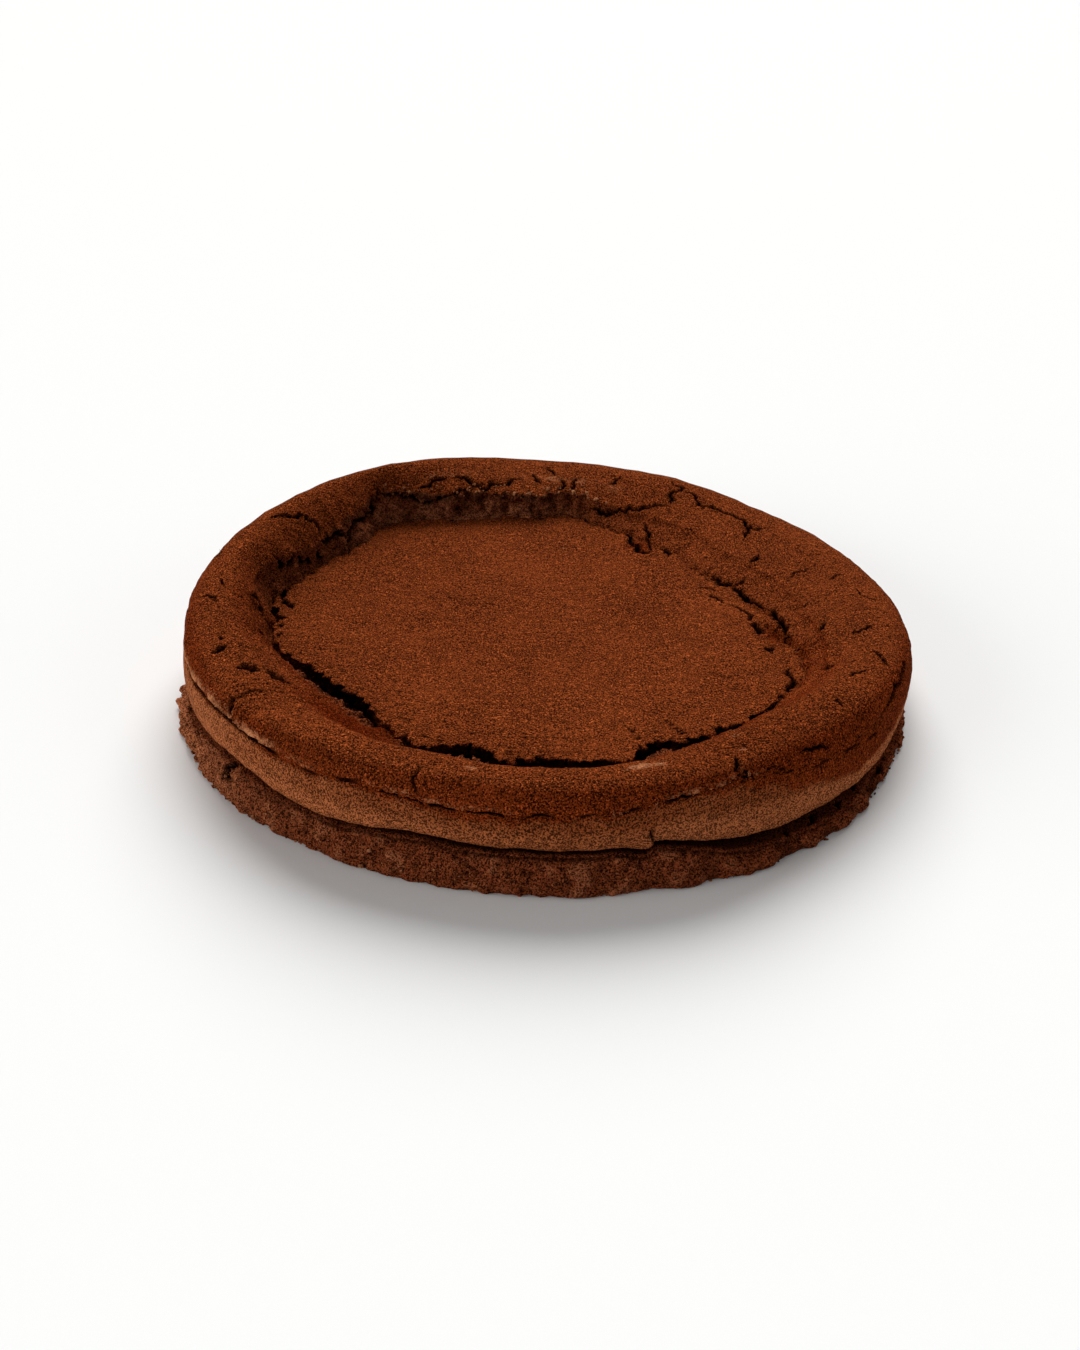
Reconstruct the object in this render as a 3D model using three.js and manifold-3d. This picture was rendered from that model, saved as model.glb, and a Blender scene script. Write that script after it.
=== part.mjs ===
// A fallen chocolate torte: one baked piece with a torn foot, a pinched waist, a rolled rim
// and a sunken, flat top that has come away from the rim in a ragged crevice.
// Millimetres, +Z up, resting on z = 0 with the axis of the torte on Z.
import * as THREE from "three";
import { mergeVertices } from "three/addons/utils/BufferGeometryUtils.js";
import Module from "manifold-3d";

// Driving dimensions
const FOOT_RADIUS = 115.6;
const FOOT_ROUNDING = 1.6;
const WAIST_PINCH = 8.5;
const LIP_OVERHANG = 4.5;
const LIP_HEIGHT = 11.8;
const BAND_RADIUS = 113.6;
const BAND_BULGE = 1.2;
const SEAM_HEIGHT = 25.6;
const SEAM_DEPTH = 1.5;
const SEAM_GAPE = 1.1;
const CREST_HEIGHT = 32;
const CREST_RADIUS = 103.5;
const FLOOR_HEIGHT = 22;
const FLOOR_RADIUS = 81;
const FLOOR_LIP = 1.1;

// How finely the solid is faceted
const STEPS_ROUND = 144;
const STEPS_ALONG = {
  foot: 2, skirt: 2, shelf: 1, underlip: 2, band: 4, seam: 2,
  shoulder: 5, brow: 4, wall: 3, crevice: 3, floor: 5,
};
const CRACK_STEP = 4;
const SHORTEST_EDGE = 0.12;
const SLIVER_HEIGHT = 0.04;
const SLIVER_ROUNDS = 12;

const DEGREE = Math.PI / 180;

// A size that varies round the torte: a plain value with smooth swells, each [angle, spread, rise]
// in degrees, degrees and millimetres. Angle 0 is +X and 90 is +Y, the back.
function round(plain, swells) {
  return (angle) => {
    let value = plain;
    for (const [at, spread, rise] of swells) {
      const away = ((((angle - at + 180) % 360) + 360) % 360) - 180;
      value += rise * Math.exp(-((away / spread) ** 2));
    }
    return value;
  };
}

// Smooth wander between -1 and 1 that repeats after a full turn, with the given number of waves.
function wander(angle, waves, seed) {
  const spot = ((((angle / 360) % 1) + 1) % 1) * waves;
  const low = Math.floor(spot);
  const ease = (spot - low) ** 2 * (3 - 2 * (spot - low));
  const knot = (n) => {
    const draw = Math.sin((n % waves) * 127.1 + seed * 311.7) * 43758.5453;
    return 2 * (draw - Math.floor(draw)) - 1;
  };
  return knot(low) * (1 - ease) + knot(low + 1) * ease;
}

// The outlines that run round the torte
const footRadius = round(FOOT_RADIUS, [
  [-58, 20, 2.4], [-112, 26, -0.9], [-167, 14, 1.2], [-10, 16, -2.4], [95, 40, -0.6],
]);
const lipHeight = round(LIP_HEIGHT, [
  [-144, 11, 2.6], [-110, 12, 3], [-86, 15, 3], [-38, 30, -5.6], [20, 30, -2.5], [-172, 17, -3],
  [178, 14, -3], [-74.5, 3, 2.8],
]);
const waistRadius = round(FOOT_RADIUS - WAIST_PINCH, [[-166, 24, 5], [165, 26, 4]]);
const bandRadius = round(BAND_RADIUS, [[178, 25, 1], [-10, 20, 0.4]]);
const seamHeight = round(SEAM_HEIGHT, [
  [-95, 22, -0.5], [-140, 13, 1.1], [-163, 10, -2.5], [-117, 8, 1.6], [-66, 12, 3.6], [-40, 16, -1.2],
  [140, 40, 1.5], [26, 38, -7],
]);
const crestHeight = round(CREST_HEIGHT, [
  [124, 28, 6], [163, 30, 5.8], [45, 18, -4.2], [8, 26, -3.4], [-55, 24, 2.8], [-110, 35, 2.8],
]);
const crestRadius = round(CREST_RADIUS, [[-88, 45, 1.8], [26, 36, -7], [-48, 20, -5.5]]);
const shoulderFull = round(0.58, [[-85, 55, 0.2]]);
const floorRadius = round(FLOOR_RADIUS, [
  [164, 30, 9.5], [145, 6, 2.5], [124, 12, 11.5], [104, 6, 4.5], [86, 9, 5], [34, 34, -18], [2, 9, -4],
  [-26, 12, 3.5], [-52, 14, -4], [-102, 30, -2.6], [-67, 4, -5], [-106, 4, -5], [-148, 18, -11],
  [-89, 4, -4.5],
]);
const browReach = round(0.62, [[-90, 55, -0.2], [99, 22, 0.33], [116, 5, 0.15], [148, 11, 0.25]]);
const browDrop = round(0.4, [[-90, 55, 0.18], [70, 10, 0.28], [114, 9, 0.1], [148, 13, 0.24]]);
const creviceWidth = round(1.2, [
  [-157, 17, 2.6], [-98, 22, 2.5], [-60, 14, 0.8], [100, 40, 0.8],
]);
const creviceDepth = round(1, [
  [-147, 24, 5], [-127, 5, -3], [-98, 30, 4.6], [-57, 17, 4.6], [100, 46, 1.6], [172, 16, 1.4],
]);
const undercut = round(0, [[104, 34, 2.2], [160, 14, 1]]);

// Ragged tearing of the foot, the crust's inner edge and the floor's edge
const footTear = (angle) => 0.5 * wander(angle, 75, 3) + 0.7 * wander(angle, 31, 4);
const crustTear = (angle) => 1.3 * wander(angle, 61, 5) + 1.5 * wander(angle, 23, 6);
const floorTear = (angle) => 1.2 * wander(angle, 73, 7) + 1.2 * wander(angle, 33, 8);
const rimSwell = (angle) => 0.6 * wander(angle, 17, 9) + 0.3 * wander(angle, 41, 10);

// The half section at one angle, from the underside's edge up over the rim and in to the floor's
// middle, as named stretches of [radius, height] handles of Bezier curves.
function section(angle) {
  const foot = footRadius(angle) + footTear(angle);
  const lip = lipHeight(angle);
  const waist = Math.max(3.4, lip - 1.6);
  const waistR = waistRadius(angle);
  const band = bandRadius(angle) + rimSwell(angle);
  const seam = seamHeight(angle) + 0.5 * wander(angle, 29, 11);
  const seamTop = seam + SEAM_GAPE;
  const crest = crestHeight(angle) + rimSwell(angle + 40);
  const crestR = crestRadius(angle);
  const full = shoulderFull(angle);
  const floorR = floorRadius(angle) + floorTear(angle);
  const width = crestR - floorR;
  const drop = crest - FLOOR_HEIGHT;
  const crustR = crestR - browReach(angle) * width + 0.5 * crustTear(angle);
  const crustZ = crest - browDrop(angle) * drop + 0.3 * crustTear(angle + 90);
  const wallR = Math.max(Math.min(floorR + creviceWidth(angle), crustR - 0.4), floorR + 0.4);
  const pit = FLOOR_HEIGHT - creviceDepth(angle);
  const hollow = undercut(angle);
  const edge = FLOOR_HEIGHT - FLOOR_LIP;
  return {
    foot: [
      [foot - FOOT_ROUNDING, 0], [foot - 0.4 * FOOT_ROUNDING, 0],
      [foot, 0.4 * FOOT_ROUNDING], [foot, FOOT_ROUNDING],
    ],
    skirt: [
      [foot, FOOT_ROUNDING], [foot + 0.3, 0.6 * waist],
      [foot - 1.4, 0.8 * waist], [foot - 3, waist - 0.9],
    ],
    shelf: [
      [foot - 3, waist - 0.9], [foot - 4.5, waist - 0.3],
      [waistR + 1, waist - 0.4], [waistR, waist],
    ],
    underlip: [
      [waistR, waist + 0.3], [waistR + 2, waist + 0.5],
      [band - LIP_OVERHANG, lip - 0.6], [band - 1.6, lip],
    ],
    band: [
      [band - 1.6, lip], [band + BAND_BULGE, lip + 1.6],
      [band + BAND_BULGE, seam - 3], [band - 0.2, seam],
    ],
    seam: [
      [band - 0.2, seam], [band - 0.8, seam + 0.1],
      [band - SEAM_DEPTH, seam + 0.2], [band - SEAM_DEPTH, seam + 0.4],
    ],
    shoulder: [
      [band - 0.3, seamTop], [band - 0.3, seamTop + full * (crest - seamTop)],
      [crestR + 0.76 * full * (band - crestR), crest], [crestR, crest],
    ],
    brow: [
      [crestR, crest], [crestR - 0.25 * width, crest],
      [crustR + 0.14 * width, crustZ + 0.12 * drop], [crustR, crustZ],
    ],
    wall: [
      [crustR, crustZ], [crustR + hollow, crustZ - 0.25 * drop],
      [wallR + hollow, pit + 0.3 * drop], [wallR, pit + 0.4],
    ],
    crevice: [
      [wallR, pit + 0.4], [0.5 * (floorR + wallR), pit - 0.2],
      [floorR + 0.1, pit], [floorR, edge],
    ],
    floor: [
      [floorR, edge], [floorR - 1, FLOOR_HEIGHT],
      [0.5 * floorR, FLOOR_HEIGHT], [0, FLOOR_HEIGHT],
    ],
  };
}

// Points of the half section in order, with the last one on the axis left out, and the index of the crest.
function sectionPoints(angle, stepsAlong) {
  const points = [];
  let crest = 0;
  for (const [name, handles] of Object.entries(section(angle))) {
    const [a, b, c, d] = handles.map(([r, z]) => new THREE.Vector2(r, z));
    const curve = new THREE.CubicBezierCurve(a, b, c, d);
    if (name === "brow") crest = points.length;
    for (let i = 0; i < stepsAlong[name]; i++) points.push(curve.getPoint(i / stepsAlong[name]));
  }
  return { points, crest };
}

function place(radius, angle, height) {
  return new THREE.Vector3(radius * Math.cos(angle * DEGREE), radius * Math.sin(angle * DEGREE), height);
}

// The spot on the skin at an angle and a distance from the crest, measured along the skin,
// positive out and down the side and negative in towards the floor's middle.
function skinPoint(angle, reach) {
  const { points, crest } = sectionPoints(angle, STEPS_ALONG);
  const turn = reach > 0 ? -1 : 1;
  let left = Math.abs(reach);
  let i = crest;
  while (points[i + turn]) {
    const length = points[i].distanceTo(points[i + turn]);
    if (length >= left) {
      const spot = points[i].clone().lerp(points[i + turn], left / length);
      return place(spot.x, angle, spot.y);
    }
    left -= length;
    i += turn;
  }
  return place(points[i].x, angle, points[i].y);
}

function skinNormal(angle, reach) {
  const along = skinPoint(angle, reach + 0.8).sub(skinPoint(angle, reach - 0.8));
  const across = skinPoint(angle + 0.6, reach).sub(skinPoint(angle - 0.6, reach));
  return along.cross(across).normalize();
}

// Cracks and pits in the crust: a path of [angle, reach] turns, the gape at the skin and the depth.
const CRACKS = [
  { path: [[154, -0.3], [148, -5.6], [146, -12.6], [147.5, -16]], gape: 1.5, depth: 2.4 },
  { path: [[118.5, -9], [112, -8]], gape: 1.3, depth: 2 },
  { path: [[90, -2], [88.5, -7]], gape: 1.3, depth: 1.8 },
  { path: [[64.5, 0.5], [60.5, -6], [55, -6.5], [46, -3], [41.5, -5], [38, -1]], gape: 1.8, depth: 2.4 },
  { path: [[76, -21.8], [71, -19.5], [65.5, -14.7], [61.5, -11.8]], gape: 1.6, depth: 2 },
  { path: [[67, -31.5], [64, -37.5], [59, -38.5]], gape: 5, depth: 3.6 },
  { path: [[30.5, -12.5], [28.5, -18]], gape: 1.5, depth: 2 },
  {
    path: [[32, -32.2], [24, -30], [16.5, -28.8], [12, -26.6], [6.5, -25.5], [0.5, -25.3], [-7.5, -25]],
    gape: 2.4,
    depth: 3,
  },
  { path: [[22.5, -28.5], [23.5, -24]], gape: 1.6, depth: 2 },
  { path: [[16, -35.2], [11, -34.2], [6, -33.2], [0.5, -33]], gape: 2, depth: 2.4 },
  { path: [[-10, -25], [-11.5, -21.5], [-10.5, -18.5]], gape: 1.5, depth: 2 },
  { path: [[-18.5, 1], [-19.5, 4], [-21.5, 7.7]], gape: 1.6, depth: 2 },
  { path: [[-51.5, 14.6], [-49.5, 15.3], [-46, 17.2]], gape: 1.3, depth: 1.7 },
  { path: [[-62.3, 7.5], [-63.2, 12]], gape: 1.3, depth: 1.7 },
  { path: [[-146.8, -13], [-151.5, -8.2], [-153.6, -3.3], [-153.7, -0.8]], gape: 2, depth: 2.2 },
  { path: [[-160, 3.4], [-161.2, -1.2]], gape: 2, depth: 2 },
  { path: [[-178, 6], [-176, -1]], gape: 1.5, depth: 1.8 },
];

// A wedge that follows a crack's path with a zigzag and comes to a point at both ends.
function wedge({ path, gape, depth }, seed) {
  const turns = [];
  path.forEach(([angle, reach], i) => {
    if (i === 0) return turns.push([angle, reach]);
    const [lastAngle, lastReach] = path[i - 1];
    const length = skinPoint(angle, reach).distanceTo(skinPoint(lastAngle, lastReach));
    const pieces = Math.max(path.length > 2 ? 1 : 2, Math.round(length / CRACK_STEP));
    for (let k = 1; k <= pieces; k++) {
      const part = k / pieces;
      turns.push([lastAngle + (angle - lastAngle) * part, lastReach + (reach - lastReach) * part]);
    }
  });
  const position = [];
  const index = [];
  turns.forEach(([angle, reach], i) => {
    const before = skinPoint(...turns[Math.max(i - 1, 0)]);
    const after = skinPoint(...turns[Math.min(i + 1, turns.length - 1)]);
    const normal = skinNormal(angle, reach);
    const side = after.sub(before).cross(normal).normalize();
    const end = i === 0 || i === turns.length - 1;
    const inside = end ? 0.12 : 1;
    const stray = end ? 0 : 0.5 * gape * wander(37 * i, 60, seed);
    const spot = skinPoint(angle, reach).addScaledVector(side, stray);
    const half = 0.5 * gape * inside * (1 + 1 / depth);
    const corners = [
      spot.clone().addScaledVector(normal, 1).addScaledVector(side, half),
      spot.clone().addScaledVector(normal, 1).addScaledVector(side, -half),
      spot.clone().addScaledVector(normal, -depth * inside),
    ];
    for (const corner of corners) position.push(corner.x, corner.y, corner.z);
  });
  const last = 3 * (turns.length - 1);
  for (let i = 0; i < last; i += 3) {
    for (let k = 0; k < 3; k++) {
      const n = (k + 1) % 3;
      index.push(i + k, i + 3 + n, i + n, i + k, i + 3 + k, i + 3 + n);
    }
  }
  index.push(0, 1, 2, last, last + 2, last + 1);
  return geometryFrom(position, index);
}

function geometryFrom(position, index) {
  const geometry = new THREE.BufferGeometry();
  geometry.setAttribute("position", new THREE.Float32BufferAttribute(position, 3));
  geometry.setIndex(index);
  return geometry;
}

// The closed skin of the torte: rings of section points, with a fan under the foot and one on the floor.
function torteSkin() {
  const position = [];
  const index = [];
  const rings = sectionPoints(0, STEPS_ALONG).points.length;
  for (let i = 0; i < STEPS_ROUND; i++) {
    const angle = (360 * i) / STEPS_ROUND;
    for (const point of sectionPoints(angle, STEPS_ALONG).points) {
      position.push(...place(point.x, angle, point.y).toArray());
    }
  }
  const under = position.length / 3;
  const middle = under + 1;
  position.push(0, 0, 0, 0, 0, FLOOR_HEIGHT);
  for (let i = 0; i < STEPS_ROUND; i++) {
    const here = i * rings;
    const next = ((i + 1) % STEPS_ROUND) * rings;
    index.push(under, next, here);
    for (let j = 0; j < rings - 1; j++) {
      index.push(here + j, next + j, next + j + 1, here + j, next + j + 1, here + j + 1);
    }
    index.push(here + rings - 1, next + rings - 1, middle);
  }
  return geometryFrom(position, index);
}

const wasm = await Module();
wasm.setup();

function solid(geometry) {
  const welded = mergeVertices(geometry, 1e-5);
  return new wasm.Manifold(new wasm.Mesh({
    numProp: 3,
    vertProperties: new Float32Array(welded.attributes.position.array),
    triVerts: new Uint32Array(welded.index.array),
  }));
}

let torteSolid = solid(torteSkin());
CRACKS.forEach((crack, i) => {
  torteSolid = torteSolid.subtract(solid(wedge(crack, i + 1)));
});

// Closes up edges shorter than the limit and drops the triangles that vanish with them.
function closeShortEdges(points, triangles, limit) {
  const kept = points.map((_, i) => i);
  const root = (i) => (kept[i] === i ? i : (kept[i] = root(kept[i])));
  for (const triangle of triangles) {
    for (let k = 0; k < 3; k++) {
      const a = root(triangle[k]);
      const b = root(triangle[(k + 1) % 3]);
      if (a !== b && points[a].distanceTo(points[b]) < limit) kept[Math.max(a, b)] = Math.min(a, b);
    }
  }
  const renamed = triangles.map((triangle) => triangle.map(root));
  const left = renamed.filter(([a, b, c]) => a !== b && b !== c && c !== a);
  const key = (triangle) => [...triangle].sort((a, b) => a - b).join();
  const seen = new Map();
  for (const triangle of left) seen.set(key(triangle), (seen.get(key(triangle)) ?? 0) + 1);
  return left.filter((triangle) => seen.get(key(triangle)) === 1);
}

// Swaps the long side of each sliver for the other diagonal of the two triangles that share it.
function swapSlivers(points, triangles, limit) {
  const owner = new Map();
  triangles.forEach(([a, b, c], t) => {
    for (const side of [`${a},${b}`, `${b},${c}`, `${c},${a}`]) owner.set(side, t);
  });
  let swaps = 0;
  const moved = new Set();
  triangles.forEach((triangle, t) => {
    const sides = [0, 1, 2].map((k) => points[triangle[k]].distanceTo(points[triangle[(k + 1) % 3]]));
    const longest = sides.indexOf(Math.max(...sides));
    const [a, b, c] = [0, 1, 2].map((k) => triangle[(longest + k) % 3]);
    const edge = points[b].clone().sub(points[a]);
    const height = edge.clone().cross(points[c].clone().sub(points[a])).length() / edge.length();
    const across = owner.get(`${b},${a}`);
    if (height > limit || moved.has(t) || moved.has(across)) return;
    const d = triangles[across].find((corner) => corner !== a && corner !== b);
    if (owner.has(`${c},${d}`) || owner.has(`${d},${c}`)) return;
    triangles[t] = [a, d, c];
    triangles[across] = [d, b, c];
    for (const near of [t, across]) moved.add(near);
    swaps += 1;
  });
  return swaps;
}

// Back to a drawn mesh without slivers, moved so that the origin lies under the middle of the outline.
const cut = torteSolid.getMesh();
const corners = [];
for (let i = 0; i < cut.vertProperties.length; i += 3) {
  corners.push(new THREE.Vector3().fromArray(cut.vertProperties, i));
}
let triangles = [];
for (let i = 0; i < cut.triVerts.length; i += 3) {
  triangles.push(Array.from(cut.triVerts.slice(i, i + 3)));
}
for (let round = 0; round < SLIVER_ROUNDS; round++) {
  triangles = closeShortEdges(corners, triangles, SHORTEST_EDGE);
  if (swapSlivers(corners, triangles, SLIVER_HEIGHT) === 0) break;
}
const torteGeometry = geometryFrom(corners.flatMap((corner) => corner.toArray()), triangles.flat());
torteGeometry.computeBoundingBox();
const middle = torteGeometry.boundingBox.getCenter(new THREE.Vector3());
torteGeometry.translate(-middle.x, -middle.y, 0);

const cocoaCrust = new THREE.MeshStandardMaterial({ color: 0x6c3115, roughness: 0.95, metalness: 0 });
const torte = new THREE.Group();
const body = new THREE.Mesh(torteGeometry, cocoaCrust);
body.name = "torte";
torte.add(body);

export default torte;
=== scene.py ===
import math

import bpy
import numpy as np
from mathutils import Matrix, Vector


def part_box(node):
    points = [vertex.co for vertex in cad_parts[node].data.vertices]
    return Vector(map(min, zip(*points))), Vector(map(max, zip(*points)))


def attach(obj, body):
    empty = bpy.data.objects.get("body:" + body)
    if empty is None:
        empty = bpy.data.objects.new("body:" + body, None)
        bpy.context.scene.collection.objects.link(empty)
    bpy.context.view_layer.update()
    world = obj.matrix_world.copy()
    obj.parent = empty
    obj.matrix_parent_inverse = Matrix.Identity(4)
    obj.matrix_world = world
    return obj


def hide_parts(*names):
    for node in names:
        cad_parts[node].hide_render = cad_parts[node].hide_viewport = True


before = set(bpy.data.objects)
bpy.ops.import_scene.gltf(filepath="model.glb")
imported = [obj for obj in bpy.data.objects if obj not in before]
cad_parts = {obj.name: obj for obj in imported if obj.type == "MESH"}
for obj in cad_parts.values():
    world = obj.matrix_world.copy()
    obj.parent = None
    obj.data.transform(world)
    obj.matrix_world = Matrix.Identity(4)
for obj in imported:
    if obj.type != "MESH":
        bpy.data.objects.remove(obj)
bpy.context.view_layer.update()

# Sizes are in millimetres round the torte's own axis until the meshes are made.
# Angle 0 is +X, 90 the back, -90 the front.


def wander(angle, waves, seed):  # smooth, between -1 and 1, repeats after a full turn
    spot = (angle / 360 % 1) * waves
    low = np.floor(spot)
    part = spot - low
    ease = part * part * (3 - 2 * part)

    def knot(n):
        draw = np.sin((n % waves) * 127.1 + seed * 311.7) * 43758.5453
        return 2 * (draw - np.floor(draw)) - 1

    return knot(low) * (1 - ease) + knot(low + 1) * ease


def wanders(angle, *waves):  # a sum of them, each (amount, waves, seed)
    return sum(amount * wander(angle, count, seed) for amount, count, seed in waves)


def turnFrom(at, angle):  # degrees from one angle to another, the short way round
    return (angle - at + 180) % 360 - 180


def swell(angle, outline):  # a plain value with smooth rises, each (angle, spread, rise)
    plain, rises = outline
    value = np.full_like(angle, plain)
    for at, spread, rise in rises:
        value = value + rise * np.exp(-(turnFrom(at, angle) / spread) ** 2)
    return value


def swells(angle, sizes):  # every outline among the sizes
    return {name: swell(angle, size) for name, size in sizes.items()
            if isinstance(size, tuple) and isinstance(size[1], list)}


def ramp(value, low, high):
    part = np.clip((value - low) / (high - low), 0, 1)
    return part * part * (3 - 2 * part)


def lattice(cell, seed):  # a fixed draw between -1 and 1 for each whole-number cell
    n = cell[..., 0] * 374761393 + cell[..., 1] * 668265263 + cell[..., 2] * 1274126177 + seed * 40503
    n = n & 0xFFFFFFFF
    n = ((n ^ (n >> 13)) * 1103515245) & 0xFFFFFFFF
    n = ((n ^ (n >> 16)) * 668265263) & 0xFFFFFFFF
    return ((n >> 8) & 0xFFFF) / 32767.5 - 1


def softNoise(spots, size, seed):
    spot = spots / size
    low = np.floor(spot).astype(np.int64)
    part = spot - low
    ease = part * part * (3 - 2 * part)
    total = np.zeros(len(spots))
    for corner in range(8):
        step = np.array([corner & 1, corner >> 1 & 1, corner >> 2 & 1])
        weight = np.where(step, ease, 1 - ease).prod(1)
        total += weight * lattice(low + step, seed)
    return total


def lumps(spots, size, octaves, seed):
    total = np.zeros(len(spots))
    for k in range(octaves):
        total += softNoise(spots, size / 2 ** k, seed + k) / 2 ** k
    return total


def pitDistance(spots, size, seed):  # distance to the nearest scattered centre, in cells
    spot = spots / size
    low = np.floor(spot).astype(np.int64)
    best = np.full(len(spots), 9.0)
    for step in np.ndindex(3, 3, 3):
        cell = low + np.array(step) - 1
        centre = cell + 0.5 + 0.45 * np.stack([lattice(cell, seed + k) for k in range(3)], 1)
        best = np.minimum(best, np.linalg.norm(spot - centre, axis=1))
    return best


# The baked form: outlines that run round the torte, each a plain size and its rises
torteForm = {
    "foot": (115.6, [(-58, 20, 2.4), (-112, 26, -0.9), (-167, 14, 1.2), (-10, 16, -2.4), (95, 40, -0.6)]),
    "lip": (11.8, [(-144, 11, 2.6), (-110, 12, 3), (-86, 15, 3), (-38, 30, -5.6), (20, 30, -2.5),
                   (-172, 17, -3), (178, 14, -3)]),
    "lipStep": 2.8, "lipStepFrom": (-76.0, -75.3), "lipStepTo": (-73, -61),
    "waist": (107.1, [(-166, 24, 5), (165, 26, 4)]),
    "band": (113.6, [(178, 25, 1), (-10, 20, 0.4)]),
    "seam": (25.6, [(-95, 22, -0.5), (-140, 13, 1.1), (-163, 10, -2.5), (-117, 8, 1.6), (-66, 12, 3.6),
                    (-40, 16, -1.2), (140, 40, 1.5), (26, 38, -7)]),
    "seamGaps": ((-160, 28, 2.4), (-126, 2.4, 0.7), (-119.5, 2, 0.9), (-112.8, 1.5, 1.9), (-109, 1.3, 1.9),
                 (-105, 2, 2.3), (-98.9, 2.8, 2.3), (-91.5, 2.4, 0.8), (-85, 1.6, 0.7), (-79, 1.8, 0.8),
                 (-71.5, 3.2, 1.3), (-66, 2.6, 1.2), (-61.5, 1.3, 0.9), (100, 45, 0.9), (160, 22, 1.4)),
    "seamGape": (1.3, [(-164, 16, 0.8)]),
    "seamProud": (-0.3, [(-66, 11, 0.9), (-160, 24, 0.3), (-100, 20, 0.3)]),
    "seamJag": (0.25, [(-66, 12, 1.0), (-98, 24, 0.45)]),
    "crest": (32, [(124, 28, 6), (163, 30, 5.8), (45, 18, -4.2), (8, 26, -3.4), (-55, 24, 2.8),
                   (-110, 35, 2.8)]),
    "crestRadius": (103.5, [(-88, 45, 1.8), (26, 36, -7), (-48, 20, -5.5)]),
    "shoulderFull": (0.58, [(-85, 55, 0.2)]),
    "floorRadius": (81, [(164, 30, 9.5), (145, 6, 2.5), (124, 12, 11.5), (104, 6, 4.5), (86, 9, 5),
                         (34, 34, -18), (2, 9, -4), (-26, 12, 3.5), (-52, 14, -4), (-102, 30, -2.6),
                         (-67, 4, -5), (-106, 4, -5), (-148, 18, -11), (-89, 4, -4.5)]),
    "floorJag": (1, [(-98, 34, 0.5)]),
    "browReach": (0.62, [(-90, 55, -0.2), (99, 22, 0.33), (116, 5, 0.15), (148, 11, 0.25)]),
    "browDrop": (0.4, [(-90, 55, 0.18), (70, 10, 0.28), (114, 9, 0.1), (148, 13, 0.24)]),
    "creviceWidth": (1.2, [(-157, 17, 2.6), (-98, 22, 2.5), (-60, 14, 0.8), (-40, 9, 0.9), (100, 40, 0.8)]),
    "creviceDepth": (1, [(-147, 24, 5), (-127, 5, -3), (-98, 30, 4.6), (-57, 17, 4.6), (100, 46, 1.6),
                         (172, 16, 1.4)]),
    "undercut": (0, [(104, 34, 2.2), (160, 14, 1)]),
    "tornBack": (0, [(104, 24, 1.2), (135, 14, 0.6), (160, 16, 0.4)]),
    "tornFront": (0, [(-151, 21, 1.15), (-127, 4, -0.7), (-96, 30, 1.1), (-55, 24, 0.9), (-38, 10, 0.5)]),
    "floorHeight": 22, "floorLip": 1.1, "footRounding": 1.6, "lipOverhang": 4.5, "bandBulge": 1.2,
    "fineTear": 1.0,
}
stretches = ["under", "foot", "skirt", "shelf", "waist", "underlip", "band", "seam", "seamTop",
             "shoulder", "brow", "wall", "crevice", "floor"]
place = {name: k for k, name in enumerate(stretches)}


def seamBite(angle):  # how deep the seam is at each angle; each gap is (angle, half its width, depth)
    bite = np.zeros_like(angle)
    for at, half, depth in torteForm["seamGaps"]:
        bite = np.maximum(bite, depth * np.sqrt(np.maximum(0, 1 - (turnFrom(at, angle) / half) ** 2)))
    return bite * (1 + 0.2 * wander(angle, 151, 31))


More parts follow.
